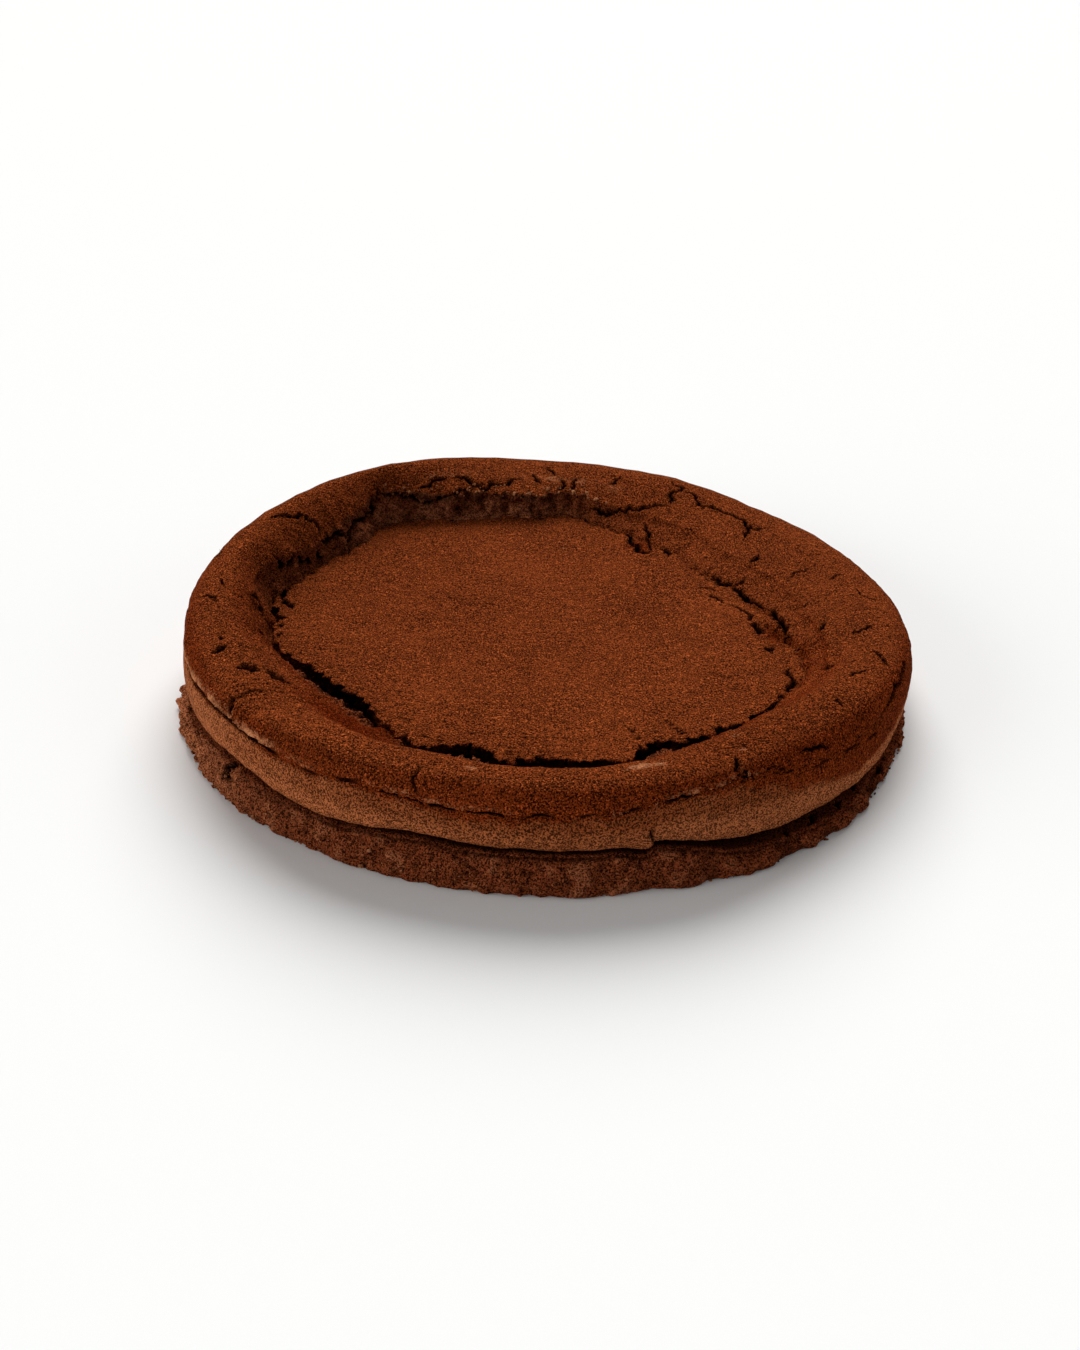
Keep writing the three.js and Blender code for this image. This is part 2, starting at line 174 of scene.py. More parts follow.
def section(angle):  # the half section at each angle: Bezier handles (radius, height) of each stretch
    form = torteForm
    fine = form["fineTear"]
    size = swells(angle, form)
    rimSwell = wanders(angle, (0.6, 17, 9), (0.3, 41, 10))
    crestSwell = wanders(angle + 40, (0.6, 17, 9), (0.3, 41, 10))
    crustTear = wanders(angle, (1.3, 61, 5), (1.5, 23, 6))
    crustTear = crustTear + fine * wanders(angle, (0.8, 167, 21), (0.5, 331, 22))
    crustDip = wanders(angle + 90, (1.3, 61, 5), (1.5, 23, 6))
    floorTear = wanders(angle, (1.2, 73, 7), (1.2, 33, 8))
    floorTear = floorTear + fine * size["floorJag"] * wanders(angle, (1.2, 173, 23), (0.9, 331, 24))
    foot = size["foot"] + wanders(angle, (0.5, 75, 3), (0.7, 31, 4), (0.35 * fine, 233, 25))
    lip = size["lip"] + fine * wanders(angle, (0.25, 53, 26), (0.2, 149, 27))
    lip = lip + form["lipStep"] * ramp(angle, *form["lipStepFrom"]) * (1 - ramp(angle, *form["lipStepTo"]))
    waist = np.maximum(3.4, lip - 1.6)
    waistR = size["waist"]
    band = size["band"] + rimSwell
    jag = wanders(angle, (1, 83, 28), (0.8, 239, 29), (0.4, 431, 30))
    seam = size["seam"] + wanders(angle, (0.5, 29, 11)) + fine * size["seamJag"] * jag
    seamIn = band - 0.25 - seamBite(angle)
    seamTop = seam + size["seamGape"]
    proud = band + size["seamProud"]
    crest = size["crest"] + crestSwell
    crestR = size["crestRadius"]
    full = size["shoulderFull"]
    floorR = size["floorRadius"] + floorTear
    width = crestR - floorR
    floorZ = form["floorHeight"]
    drop = crest - floorZ
    crustR = crestR - size["browReach"] * width + 0.5 * crustTear
    crustZ = crest - size["browDrop"] * drop + 0.3 * crustDip
    wallR = np.maximum(np.minimum(floorR + size["creviceWidth"], crustR - 0.4), floorR + 0.15)
    pit = floorZ - size["creviceDepth"]
    hollow = size["undercut"]
    edge = floorZ - form["floorLip"]
    rounding = form["footRounding"]
    bulge = band + form["bandBulge"]
    rows = {  # the first three handles of each; the fourth is where the next stretch begins
        "under": [(0, 0), (0.3 * foot, 0), (0.7 * foot, 0)],
        "foot": [(foot - rounding, 0), (foot - 0.4 * rounding, 0), (foot, 0.4 * rounding)],
        "skirt": [(foot, rounding), (foot + 0.3, 0.6 * waist), (foot - 1.4, 0.8 * waist)],
        "shelf": [(foot - 3, waist - 0.9), (foot - 4.5, waist - 0.3), (waistR + 1, waist - 0.4)],
        "waist": [(waistR, waist), (waistR, waist + 0.1), (waistR, waist + 0.2)],
        "underlip": [(waistR, waist + 0.3), (waistR + 2, waist + 0.5),
                     (band - form["lipOverhang"], lip - 0.6)],
        "band": [(band - 1.6, lip), (bulge, lip + 1.6), (bulge, seam - 3)],
        "seam": [(band - 0.2, seam), (band - 0.5, seam + 0.1), (seamIn, seam + 0.2)],
        "seamTop": [(seamIn, seam + 0.4), (seamIn + 0.1, seam + 0.5), (proud - 0.2, seamTop - 0.2)],
        "shoulder": [(proud, seamTop), (band - 0.3, seamTop + full * (crest - seamTop)),
                     (crestR + 0.76 * full * (band - crestR), crest)],
        "brow": [(crestR, crest), (crestR - 0.25 * width, crest),
                 (crustR + 0.14 * width, crustZ + 0.12 * drop)],
        "wall": [(crustR, crustZ), (crustR + hollow, crustZ - 0.25 * drop),
                 (wallR + hollow, pit + 0.3 * drop)],
        "crevice": [(wallR, pit + 0.4), (0.5 * (floorR + wallR), pit - 0.2), (floorR + 0.1, pit)],
        "floor": [(floorR, edge), (floorR - 1, floorZ), (0.5 * floorR, floorZ)],
    }
    ends = [rows[name][0] for name in stretches[1:]] + [(0, floorZ)]
    return {name: rows[name] + [end] for name, end in zip(stretches, ends)}


def stretchAt(along):  # the stretch of each position, and how far along it
    stretch = np.clip(np.floor(along).astype(int), 0, len(stretches) - 1)
    return stretch, along - stretch


def skinAt(angle, along):  # radius and height at an angle and a position along the half section
    stretch, part = stretchAt(along)
    weight = [(1 - part) ** 3, 3 * (1 - part) ** 2 * part, 3 * (1 - part) * part ** 2, part ** 3]
    radius = np.zeros(len(angle))
    height = np.zeros(len(angle))
    for k, name in enumerate(stretches):
        here = np.nonzero(stretch == k)[0]
        if len(here) == 0:
            continue
        for w, (r, z) in zip(weight, section(angle[here])[name]):
            radius[here] += w[here] * r
            height[here] += w[here] * z
    return radius, height


def skinSpots(angle, along):
    radius, height = skinAt(angle, along)
    turn = np.radians(angle)
    return np.stack([radius * np.cos(turn), radius * np.sin(turn), height], 1)


# Where the part's box sits: the outline, without its fine tears, is centred on the origin
boxTurns = 144
boxSteps = np.linspace(1, place["brow"], 60)
torteForm["fineTear"] = 0.0
boxAngles = np.repeat(np.arange(boxTurns) * 360 / boxTurns, len(boxSteps))
ring = skinSpots(boxAngles, np.tile(boxSteps, boxTurns))
torteForm["fineTear"] = 1.0
nodeLow, nodeHigh = (np.array(corner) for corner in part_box("torte"))
middle = np.append((ring.min(0) + ring.max(0))[:2] / 2, 0)
print("form", (ring.max(0) - ring.min(0)).round(2), "node", ((nodeHigh - nodeLow) * 1000).round(2))


def toMetres(spots):
    return (spots - middle) / 1000


# Cracks in the crust: turns of (angle, reach), reach along the skin from the crest of the rim,
# positive out and down, negative in and down; then the gape and the depth
crackPaths = [
    # back left and left
    ([(154, -0.3), (151, -3), (148, -5.6), (146, -9.6), (146, -12.6), (147.5, -16)], 1.4, 2.2),
    ([(147.5, -16), (143.5, -18.8), (139.5, -20), (139.5, -24.5)], 2.2, 2.2),
    ([(139, -24.7), (138, -20.4), (136, -17.6), (133, -17.5), (129.5, -15.4), (127.5, -7)], 1.8, 2.2),
    ([(169, 4), (165, 7)], 0.8, 1.0),
    ([(177, 0.5), (179.5, -2)], 0.9, 1.1),
    ([(-178, 6), (-178, 4), (-177, 2), (-175.5, -0.5)], 1.0, 1.2),
    ([(-160, 3.4), (-160.5, 1.1), (-161.2, -1.2)], 2.9, 2.9),
    ([(-164.2, -0.2), (-163.3, -1.4)], 1.8, 1.6),
    ([(-153.7, -0.8), (-153.6, -3.3), (-152.6, -5.4), (-152, -7)], 3.4, 3.1),
    ([(-151.5, -8.2), (-150, -10.3), (-148.5, -11.6), (-146.8, -13)], 3.3, 3.1),
    ([(-144.2, 10.6), (-145, 8), (-146, 6.3), (-145.5, 4.4), (-145.5, 1.4), (-145, -2.9)], 1.2, 2.0),
    ([(161, -10), (161, -13), (160, -17.5)], 1.8, 2.0),
    ([(157, -14), (157, -17.6), (158.5, -18.3)], 2.4, 2.2),
    ([(154, -17.2), (153, -20.8), (151.5, -23)], 2.2, 2.2),
    ([(149, -19.8), (148, -23.2)], 1.6, 1.8),
    ([(153, -28.5), (153.5, -26.6), (155, -24)], 1.5, 1.8),
    ([(164, -17), (163.5, -18.4)], 2.0, 1.8),
    ([(177.5, -11.2), (176, -14.3), (177, -16.5), (177.5, -18.6)], 1.6, 2.0),
    ([(161, -23.3), (163.5, -24), (167, -27.4)], 2.0, 2.2),
    ([(167, -27.4), (169, -30.3), (170.5, -32)], 2.2, 2.2),
    ([(170, -24), (172, -26.3), (175, -27.3), (175, -30)], 2.0, 2.2),
    ([(178, -28.3), (179, -29.2)], 2.2, 2.0),
    ([(-178, -27.6), (-177, -28.7)], 2.4, 2.0),
    ([(-176, -18.5), (-174.5, -19), (-173, -17)], 2.6, 2.2),
    ([(-174.5, -21.6), (-175.5, -25)], 2.2, 2.2),
    # back
    ([(110.5, -10.7), (107.5, -11.7), (106.5, -14.4), (103, -14.5), (100, -14.3), (98, -12.5), (95.5, -11)],
     1.4, 2.2),
    ([(118.5, -11), (116, -11), (113.5, -9.5), (112, -9.5)], 1.1, 1.6),
    ([(127, -7), (122.5, -11.4), (119.5, -15), (116.5, -17.6), (111.5, -17.3), (109, -16), (107.5, -14.4)],
     1.6, 2.2),
    ([(93.5, -9), (92.5, -11), (91.5, -13)], 1.2, 1.6),
    ([(90, -3), (89, -5), (88.5, -7.3)], 1.0, 1.4),
    ([(87, -9), (86, -12), (87.5, -15)], 1.3, 1.8),
    ([(83.5, -8.2), (84, -11.7), (84.5, -15.2)], 1.3, 1.8),
    ([(76.5, -8.6), (75.5, -6), (74.5, -3.5)], 1.1, 1.4),
    # right
    ([(80, -21), (77, -22), (74.5, -21.2), (71, -19.5), (68.5, -17.2), (65.5, -14.7), (61.5, -11.8)],
     1.6, 2.2),
    ([(61.5, -11.8), (61, -8.2), (62, -4.3), (64.5, 1.2)], 1.3, 1.8),
    ([(61, -2), (58.5, -2), (55, -6.5), (50.5, -4), (46, -3), (42, -5), (40, -4.3), (39.5, -1.2),
      (39.5, 1.5)], 1.3, 1.8),
    ([(42.5, -2.5), (41.5, -6), (39.5, -10)], 1.5, 1.8),
    ([(68.5, -27.7), (67, -32), (65, -36.2), (61, -40.3), (58.5, -39.8), (57.5, -37)], 2.2, 2.6),
    ([(66, -21.8), (64, -25.4), (62, -29.4), (59.5, -33.5), (57.5, -37)], 1.2, 1.8),
    ([(56.5, -33.9), (55, -32.6), (51.5, -35.4)], 1.5, 2.0),
    ([(29, -19), (29.5, -16.6), (31, -14.3)], 1.6, 2.2),
    ([(33.5, -32), (30, -31.6), (27, -31.2), (25, -30.2)], 1.5, 2.4),
    ([(24.5, -29.6), (24.5, -27.2), (25, -25.4)], 1.5, 2.4),
    ([(25, -30.2), (22, -30.4), (18.5, -30.2), (15, -29.6), (11.5, -28.5), (9, -27)], 1.3, 2.4),
    ([(9, -27), (6, -26.6), (2, -26.1), (-1.5, -26), (-4, -26.5)], 2.5, 3.2),
    ([(-4, -26.5), (-6, -25.8), (-6.5, -28)], 1.0, 1.4),
    ([(29.5, -41), (28, -39), (25.5, -36.8)], 1.0, 1.3),
    ([(23.5, -39.5), (19.5, -39.2), (16.5, -39)], 1.1, 1.5),
    ([(15, -37.5), (12.5, -35.6), (10.5, -34.6), (6.5, -34.6), (4, -34.4)], 1.2, 2.0),
    ([(4, -34.4), (0.5, -34.4), (-3.5, -35)], 2.4, 2.8),
    ([(-9.5, -32.8), (-13, -32.8)], 1.7, 1.6),
    ([(-19, -26.5), (-23.5, -24.2), (-29, -20.8)], 1.7, 1.8),
    ([(-10, -25), (-11.5, -22.8), (-11.5, -20.2), (-10.5, -18.5)], 1.6, 2.0),
    ([(-8, -16.4), (-6.5, -14.6), (-4.5, -13.3)], 1.3, 1.7),
    ([(6, -20.5), (5, -14), (5.5, -11)], 0.7, 1.0),
    ([(17.5, -14), (18, -7.5), (19.5, -4.5)], 0.7, 1.0),
    ([(13, -4), (14.5, 1), (14.5, 3.5)], 0.9, 1.2),
    ([(8, 2.5), (5, 2.5), (4.5, 8)], 0.8, 1.0),
    ([(-11.5, -7), (-9.5, -1.5), (-7.5, 1.5)], 1.2, 1.5),
    ([(-18.5, 1), (-19.5, 4), (-20.5, 5.8), (-21.5, 7.7)], 1.3, 1.8),
    ([(-21.5, -15), (-23.5, -11.4), (-22, -9.5)], 1.7, 1.8),
    ([(-29, 0.6), (-27, 1.6), (-25, 2.6)], 0.9, 1.2),
    ([(-37, 4.5), (-38, 8)], 1.0, 1.2),
    ([(-15, 12.2), (-18, 12.4), (-20.5, 12.6), (-23.5, 13.1), (-26.5, 13.8), (-28.5, 15), (-30.5, 16)],
     1.7, 2.6),
    ([(24.5, -2), (24, 4)], 0.7, 0.9),
    # front
    ([(-144, 34), (-144.7, 36.3), (-145.2, 38.4), (-146, 43)], 2.6, 2.8),
    ([(-144.9, 37.5), (-146.6, 39)], 1.6, 1.8),
    ([(-29, 44), (-30.2, 47)], 1.6, 1.8),
    ([(-34, 44), (-37, 46.6)], 2.2, 2.2),
    ([(-40.5, 47.5), (-42.5, 50)], 1.8, 2.0),
    ([(-46.5, 47.3), (-49.5, 50)], 2.2, 2.2),
    ([(-53.5, 47), (-53.7, 50.6)], 1.6, 1.8),
    ([(-62.3, 7.5), (-62.6, 9.4), (-63.2, 12)], 1.4, 1.8),
    ([(-51.5, 14.6), (-49.5, 15.3), (-46, 17.2)], 1.1, 1.4),
    ([(-42.5, 20.6), (-40, 20.8), (-38.5, 20.6)], 0.8, 1.0),
    ([(-36.3, 21.2), (-33.3, 22.8)], 1.0, 1.2),
    ([(-49.5, 21), (-47.5, 20.7), (-46, 20.8)], 0.8, 1.0),
    ([(-63.5, 12.7), (-61.5, 12.6)], 1.2, 1.4),
    ([(-59, 15.6), (-56, 16.3), (-53, 19.3)], 0.6, 0.8),
    ([(-63, 16.8), (-61, 17.2)], 0.7, 0.9),
    ([(-60, 3.2), (-59.5, 6.2)], 0.7, 0.8),
    ([(-109, 4), (-109.3, 8), (-108.5, 12)], 0.8, 1.0),
    ([(-76, 21.5), (-75.8, 24.5), (-75.6, 28)], 1.0, 1.4),
]
crackLook = {"seed": 11, "jag": 0.16, "step": 0.7, "mostLegs": 90, "snap": 0.19, "perDegree": 1.65,
             "tableSteps": 400}


def alongFor(angles, reaches):  # positions along the half section for reaches from the crest
    count = crackLook["tableSteps"]
    along = np.linspace(1, len(stretches) - 0.02, count)
    radius, height = skinAt(np.repeat(angles, count), np.tile(along, len(angles)))
    steps = np.hypot(np.diff(radius.reshape(-1, count)), np.diff(height.reshape(-1, count)))
    found = []
    for reach, step in zip(reaches, steps):
        run = np.append(0, np.cumsum(step))
        found.append(np.interp(np.interp(place["brow"], along, run) - reach, run, along))
    return np.array(found)


def reachAt(angle, along):  # the reach from the crest of each place, read from a table
    perStretch = 40
    turns = np.arange(-180.0, 181)
    steps = np.linspace(0, len(stretches), perStretch * len(stretches) + 1)
    shape = (len(turns), len(steps))
    radius, height = skinAt(np.repeat(turns, len(steps)), np.tile(steps, len(turns)))
    run = np.cumsum(np.hypot(np.diff(radius.reshape(shape)), np.diff(height.reshape(shape))), 1)
    run = np.concatenate([np.zeros((len(turns), 1)), run], 1)
    table = run[:, [place["brow"] * perStretch]] - run
    row = np.clip(angle + 180, 0, len(turns) - 1.001)
    column = np.clip(along * perStretch, 0, len(steps) - 1.001)
    i, j = row.astype(int), column.astype(int)
    u, v = row - i, column - j
    return ((1 - u) * ((1 - v) * table[i, j] + v * table[i, j + 1])
            + u * ((1 - v) * table[i + 1, j] + v * table[i + 1, j + 1]))


def makeCracks():
    draw = np.random.default_rng(crackLook["seed"])
    cracks = []
    for turns, gape, depth in crackPaths:
        angles = np.unwrap(np.radians([turn[0] for turn in turns])) * 180 / np.pi
        reaches = np.array([float(turn[1]) for turn in turns])
        while True:  # halve the legs, each new turn strays to one side, until the steps are short
            across = np.diff(angles) * crackLook["perDegree"]
            legs = np.hypot(across, np.diff(reaches))
            if legs.max() < crackLook["step"] * 2 or len(legs) > crackLook["mostLegs"]:
                break
            stray = draw.normal(0, crackLook["jag"], len(legs))
            midAngles = (angles[1:] + angles[:-1]) / 2 - stray * np.diff(reaches) / crackLook["perDegree"]
            midReaches = (reaches[1:] + reaches[:-1]) / 2 + stray * across
            angles = np.insert(angles, np.arange(1, len(angles)), midAngles)
            reaches = np.insert(reaches, np.arange(1, len(reaches)), midReaches)
        alongs = alongFor(angles, reaches)
        spots = skinSpots(angles, alongs)
        run = np.append(0, np.cumsum(legs)) / legs.sum()
        taper = np.clip(np.minimum(run, 1 - run) * 5, 0.15, 1) ** 0.6
        rough = 1 + 0.45 * draw.uniform(-1, 1, len(run))
        cracks.append({"angle": angles, "along": alongs, "spots": spots,
                       "half": 0.5 * gape * taper * rough, "depth": depth * taper})
    return cracks


def nearestCrack(spots, margin):  # for each spot: distance, half gape, depth and place of the nearest crack
    count = len(spots)
    found = {"distance": np.full(count, 99.0), "half": np.ones(count), "depth": np.zeros(count),
             "angle": np.zeros(count), "along": np.zeros(count)}
    for crack in cracks:
        line = crack["spots"]
        inside = (spots > line.min(0) - margin) & (spots < line.max(0) + margin)
        near = np.nonzero(inside.all(1))[0]
        if len(near) == 0:
            continue
        leg = np.diff(line, axis=0)
        offset = spots[near][:, None, :] - line[None, :-1, :]
        part = np.clip((offset * leg).sum(2) / np.maximum((leg * leg).sum(1), 1e-9), 0, 1)
        gap = np.linalg.norm(offset - part[..., None] * leg, axis=2)
        best = gap.argmin(1)
        rows = np.arange(len(near))
        gap = gap[rows, best]
        part = part[rows, best]
        closer = gap / crack["half"][best] < found["distance"][near] / found["half"][near]
        near, best, part, gap = near[closer], best[closer], part[closer], gap[closer]
        found["distance"][near] = gap
        for name in ("half", "depth", "angle", "along"):
            found[name][near] = crack[name][best] * (1 - part) + crack[name][best + 1] * part
    return found


cracks = makeCracks()
print("cracks", len(cracks), "with", sum(len(crack["spots"]) for crack in cracks), "turns")

# How finely each stretch is meshed, in millimetres, and how much coarser the outside at the back is
skinMesh = {
    "startTurns": 72,
    "stretch": {  # steps at the start, size in the end
        "under": (5, 24), "foot": (1, 1.7), "skirt": (2, 1.7), "shelf": (2, 2.8), "waist": (1, 2.8),
        "underlip": (2, 2.6), "band": (3, 2.6), "seam": (3, 2.3), "seamTop": (2, 2.3), "shoulder": (4, 2.5),
        "brow": (4, 2.5), "wall": (3, 1.5), "crevice": (2, 1.8), "floor": (12, 3.4),
    },
    "floorEdge": 1.25, "plainWall": 2.3, "crackSize": 0.55, "crackSpread": 1.8, "backCoarser": 2.4,
    "closer": [  # first and last angle, first and last position along the half section, size
        (-168, -138, 9.3, 10.7, 1.0), (-182, -140, 1, 3, 0.95), (-140, -10, 1.6, 3, 1.2),
        (-130, -80, 7, 9.1, 1.2), (-80, -55, 7, 9.1, 0.85), (-168, -35, 12.6, 13.03, 0.85),
    ],
    "mostTriangles": 400000,
}


def startSkin():
    turns = skinMesh["startTurns"]
    alongs = []
    for k, name in enumerate(stretches):
        steps = skinMesh["stretch"][name][0]
        alongs += [k + i / steps for i in range(steps)]
    alongs = np.array(alongs[1:])
    rings = len(alongs)
    angle = np.append(np.repeat(np.arange(turns) * 360 / turns - 180, rings), [0, 0])
    along = np.append(np.tile(alongs, turns), [0, len(stretches)])
    under, top = turns * rings, turns * rings + 1
    tris = []
    for i in range(turns):
        here, after = i * rings, (i + 1) % turns * rings
        tris.append((under, after, here))
        tris.append((here + rings - 1, after + rings - 1, top))
        for j in range(rings - 1):
            tris.append((here + j, after + j, after + j + 1))
            tris.append((here + j, after + j + 1, here + j + 1))
    return angle, along, np.array(tris)


def wantedSize(angle, along, spots):
    stretch, part = stretchAt(along)
    size = np.array([skinMesh["stretch"][name][1] for name in stretches], float)[stretch]
    edge = skinMesh["floorEdge"]
    size = np.where(stretch == place["floor"], edge + (size - edge) * ramp(part, 0.02, 0.16), size)
    inner = np.where(stretch == place["brow"], 1 - 0.25 * ramp(part, 0.7, 1), 1)
    back = ramp(spots[:, 1], 10, 60) * (stretch < place["brow"]) * (stretch > 0)
    size = size * inner * (1 + (skinMesh["backCoarser"] - 1) * back)
    for first, last, low, high, closer in skinMesh["closer"]:
        inside = (angle > first) & (angle < last) & (along > low) & (along < high)
        size = np.where(inside, np.minimum(size, closer), size)
    smooth = (stretch == place["wall"]) * (1 - swell(angle, torteForm["tornBack"]).clip(0, 1))
    smooth = smooth * (spots[:, 2] > torteForm["floorHeight"] + 0.5)
    size = size + (skinMesh["plainWall"] - skinMesh["stretch"]["wall"][1]) * smooth
    crack = nearestCrack(spots, 4)
    beyond = np.maximum(crack["distance"] - crack["half"], 0)
    return np.minimum(size, skinMesh["crackSize"] + skinMesh["crackSpread"] * beyond)


def refine(angle, along, tris):  # halves the long edges, and the longest edge of each triangle they touch
    spots = skinSpots(angle, along)
    while True:
        count = len(angle)
        after = np.roll(tris, -1, 1)
        key = np.minimum(tris, after) * count + np.maximum(tris, after)
        keys, side = np.unique(key, return_inverse=True)
        side = side.reshape(-1, 3)
        a, b = keys // count, keys % count
        pole = (along == 0) | (along == len(stretches))
        angleA = np.where(pole[a], angle[b], angle[a])
        angleB = np.where(pole[b], angle[a], angle[b])
        midAngle = angleA + 0.5 * turnFrom(angleA, angleB)
        midAlong = (along[a] + along[b]) / 2
        length = np.linalg.norm(spots[a] - spots[b], axis=1)
        long = np.nonzero(length > skinMesh["crackSize"])[0]
        wanted = wantedSize(midAngle[long], midAlong[long], (spots[a[long]] + spots[b[long]]) / 2)
        marked = np.zeros(len(keys), bool)
        marked[long] = length[long] > wanted
        longest = length[side].argmax(1)
        rows = np.arange(len(tris))
        while True:
            touched = marked[side].any(1)
            grown = marked.copy()
            grown[side[rows[touched], longest[touched]]] = True
            if grown.sum() == marked.sum():
                break
            marked = grown
        if not marked.any() or len(tris) > skinMesh["mostTriangles"]:
            return angle, along, tris
        fresh = np.full(len(keys), -1)
        fresh[marked] = count + np.arange(marked.sum())
        angle = np.append(angle, (midAngle[marked] + 180) % 360 - 180)
        along = np.append(along, midAlong[marked])
        spots = np.concatenate([spots, skinSpots(angle[count:], along[count:])])
        turn = (longest[:, None] + np.arange(3)) % 3
        a, b, c = np.take_along_axis(tris, turn, 1).T
        m, n, o = fresh[np.take_along_axis(side, turn, 1)].T
        parts = []
        for rule, pieces in (
            (m < 0, [(a, b, c)]),
            ((m >= 0) & (n < 0) & (o < 0), [(a, m, c), (m, b, c)]),
            ((m >= 0) & (n >= 0) & (o < 0), [(a, m, c), (m, b, n), (m, n, c)]),
            ((m >= 0) & (n < 0) & (o >= 0), [(a, m, o), (m, b, c), (m, c, o)]),
            ((m >= 0) & (n >= 0) & (o >= 0), [(a, m, o), (m, b, n), (m, n, c), (m, c, o)]),
        ):
            parts += [np.stack([corner[rule] for corner in piece], 1) for piece in pieces]
        tris = np.concatenate(parts)


def vertexNormals(spots, tris):
    face = np.cross(spots[tris[:, 1]] - spots[tris[:, 0]], spots[tris[:, 2]] - spots[tris[:, 0]])
    normal = np.zeros_like(spots)
    for k in range(3):
        for axis in range(3):
            normal[:, axis] += np.bincount(tris[:, k], face[:, axis], len(spots))
    return normal / np.maximum(np.linalg.norm(normal, axis=1), 1e-12)[:, None]


angle, along, tris = refine(*startSkin())
spots = skinSpots(angle, along)
crack = nearestCrack(spots, 3)
snapped = crack["distance"] < crackLook["snap"]
angle[snapped] = crack["angle"][snapped]
along[snapped] = crack["along"][snapped]
spots = skinSpots(angle, along)
crack = nearestCrack(spots, 3)
print("skin", len(spots), "points", len(tris), "triangles", snapped.sum(), "on cracks")

# Relief of the baked skin, in millimetres
relief = {
    "floor": 0.16, "floorEdge": 0.35, "rim": 0.3, "crustEdge": 0.4, "band": 0.2, "wall": 1.5, "waist": 0.3,
    "skirt": 0.75, "pit": 1.3, "pitSpacing": 3.4, "pitRadius": 0.34, "teeth": 2.4, "streak": 0.14,
    "crackLip": 0.1,
    "lipWave": [(0.7, 41, 51), (0.45, 97, 52)],  # the lip's edge hangs unevenly
    "chunks": (1.1, [(-40, 30, 1.3)]),  # the foot comes away in larger lumps at the right
    "ripples": [  # angle and reach of the middle, nearest and farthest ring, step, height, middle's rise
        (-138, 6.7, 5, 28, 2.6, 0.42, 0.5), (-126.5, 5.2, 2.5, 12, 2.4, 0.4, 0.9),
    ],
}
stretch, part = stretchAt(along)
on = {name: (stretch == k).astype(float) for name, k in place.items()}
onRim = on["brow"] + on["shoulder"]
onFoot = on["skirt"] + on["foot"]
inWall = on["wall"] + on["crevice"]
height = spots[:, 2]
reach = reachAt(angle, along)
normal = vertexNormals(spots, tris)
coarse = lumps(spots, 7, 2, 101)
medium = lumps(spots, 2.6, 2, 111)
fine = lumps(spots, 1.2, 2, 121)
chunks = lumps(spots * (1, 1, 0.45), 5, 2, 151)
pit = np.maximum(0, 1 - pitDistance(spots, relief["pitSpacing"], 131) / relief["pitRadius"])
tornBack = swell(angle, torteForm["tornBack"]).clip(0, 1)
tornFront = swell(angle, torteForm["tornFront"]).clip(0, 1)
floorZ = torteForm["floorHeight"]
torn = inWall * np.maximum(tornBack, tornFront * ramp(height, floorZ + 0.5, floorZ - 1.5))
nearness = crack["distance"] / np.maximum(crack["half"], 0.05)  # 1 at the edge of a crack


def around(centre, spread):  # 1 at an angle, fading to both sides
    return np.exp(-(turnFrom(centre, angle) / spread) ** 2)


farLeft = around(-163, 36)


def bakedPush():  # how far each point of the skin moves out
    floorEdge = on["floor"] * (1 - ramp(part, 0.01, 0.09))
    push = on["floor"] * relief["floor"] * (coarse + 0.5 * medium) + floorEdge * relief["floorEdge"] * fine
    push += onRim * relief["rim"] * (coarse + 0.45 * medium + 0.15 * fine)
    push += on["brow"] * ramp(part, 0.75, 1) * relief["crustEdge"] * medium
    push += (on["band"] + on["seam"] + on["seamTop"]) * relief["band"] * (coarse + 0.6 * fine)
    push += torn * relief["wall"] * (0.8 * medium + 0.9 * fine)
    push += (inWall - torn) * relief["rim"] * (coarse + 0.5 * medium)
    push += (on["underlip"] + on["shelf"] + on["waist"]) * relief["waist"] * medium
    rough = on["skirt"] + on["foot"] * part
    lumpy = 0.5 * coarse + 0.7 * medium + 0.6 * fine + swell(angle, relief["chunks"]) * chunks
    push += rough * relief["skirt"] * lumpy
    push -= (on["skirt"] + 0.5 * torn) * relief["pit"] * pit ** 0.7
    teeth = np.maximum(0, lumps(spots * (1, 1, 0.6), 2.6, 2, 141) - 0.15)
    push += rough * farLeft ** 2 * relief["teeth"] * teeth * ramp(height, 9, 4)
    front = ramp(-np.sin(np.radians(angle)), 0.3, 0.8)
    push += on["shoulder"] * front * relief["streak"] * wanders(angle, (1, 281, 41), (1, 487, 42))
    for centre, at, nearest, farthest, step, tall, rise in relief["ripples"]:
        middleAngle = np.array([float(centre)])
        middleSpot = skinSpots(middleAngle, alongFor(middleAngle, [at]))
        away = np.linalg.norm(spots - middleSpot, axis=1) + 1.2 * coarse
        ringed = ramp(away, nearest - 1.5, nearest + 1.5) * ramp(away, farthest, 0.6 * farthest)
        ringed *= ramp(angle, centre + 10, centre + 2) * onRim
        push += ringed * tall * np.sin(2 * np.pi * away / step)
        push += rise * np.exp(-(away / nearest) ** 2) * onRim
    raised = np.exp(-((nearness - 1.6) / 0.7) ** 2) * np.minimum(crack["depth"], 1.5)
    groove = crack["depth"] * np.clip(1 - nearness, 0, 1) ** 0.8
    return push + relief["crackLip"] * raised - groove


shaped = spots + normal * bakedPush()[:, None]
atLip = on["underlip"] * ramp(part, 0.3, 1) + on["band"] * ramp(part, 0.5, 0)
shaped[:, 2] += wanders(angle, *relief["lipWave"]) * atLip
shaped[:, 2] = np.maximum(shaped[:, 2], 0)
shaped[stretch == place["under"], 2] = 0

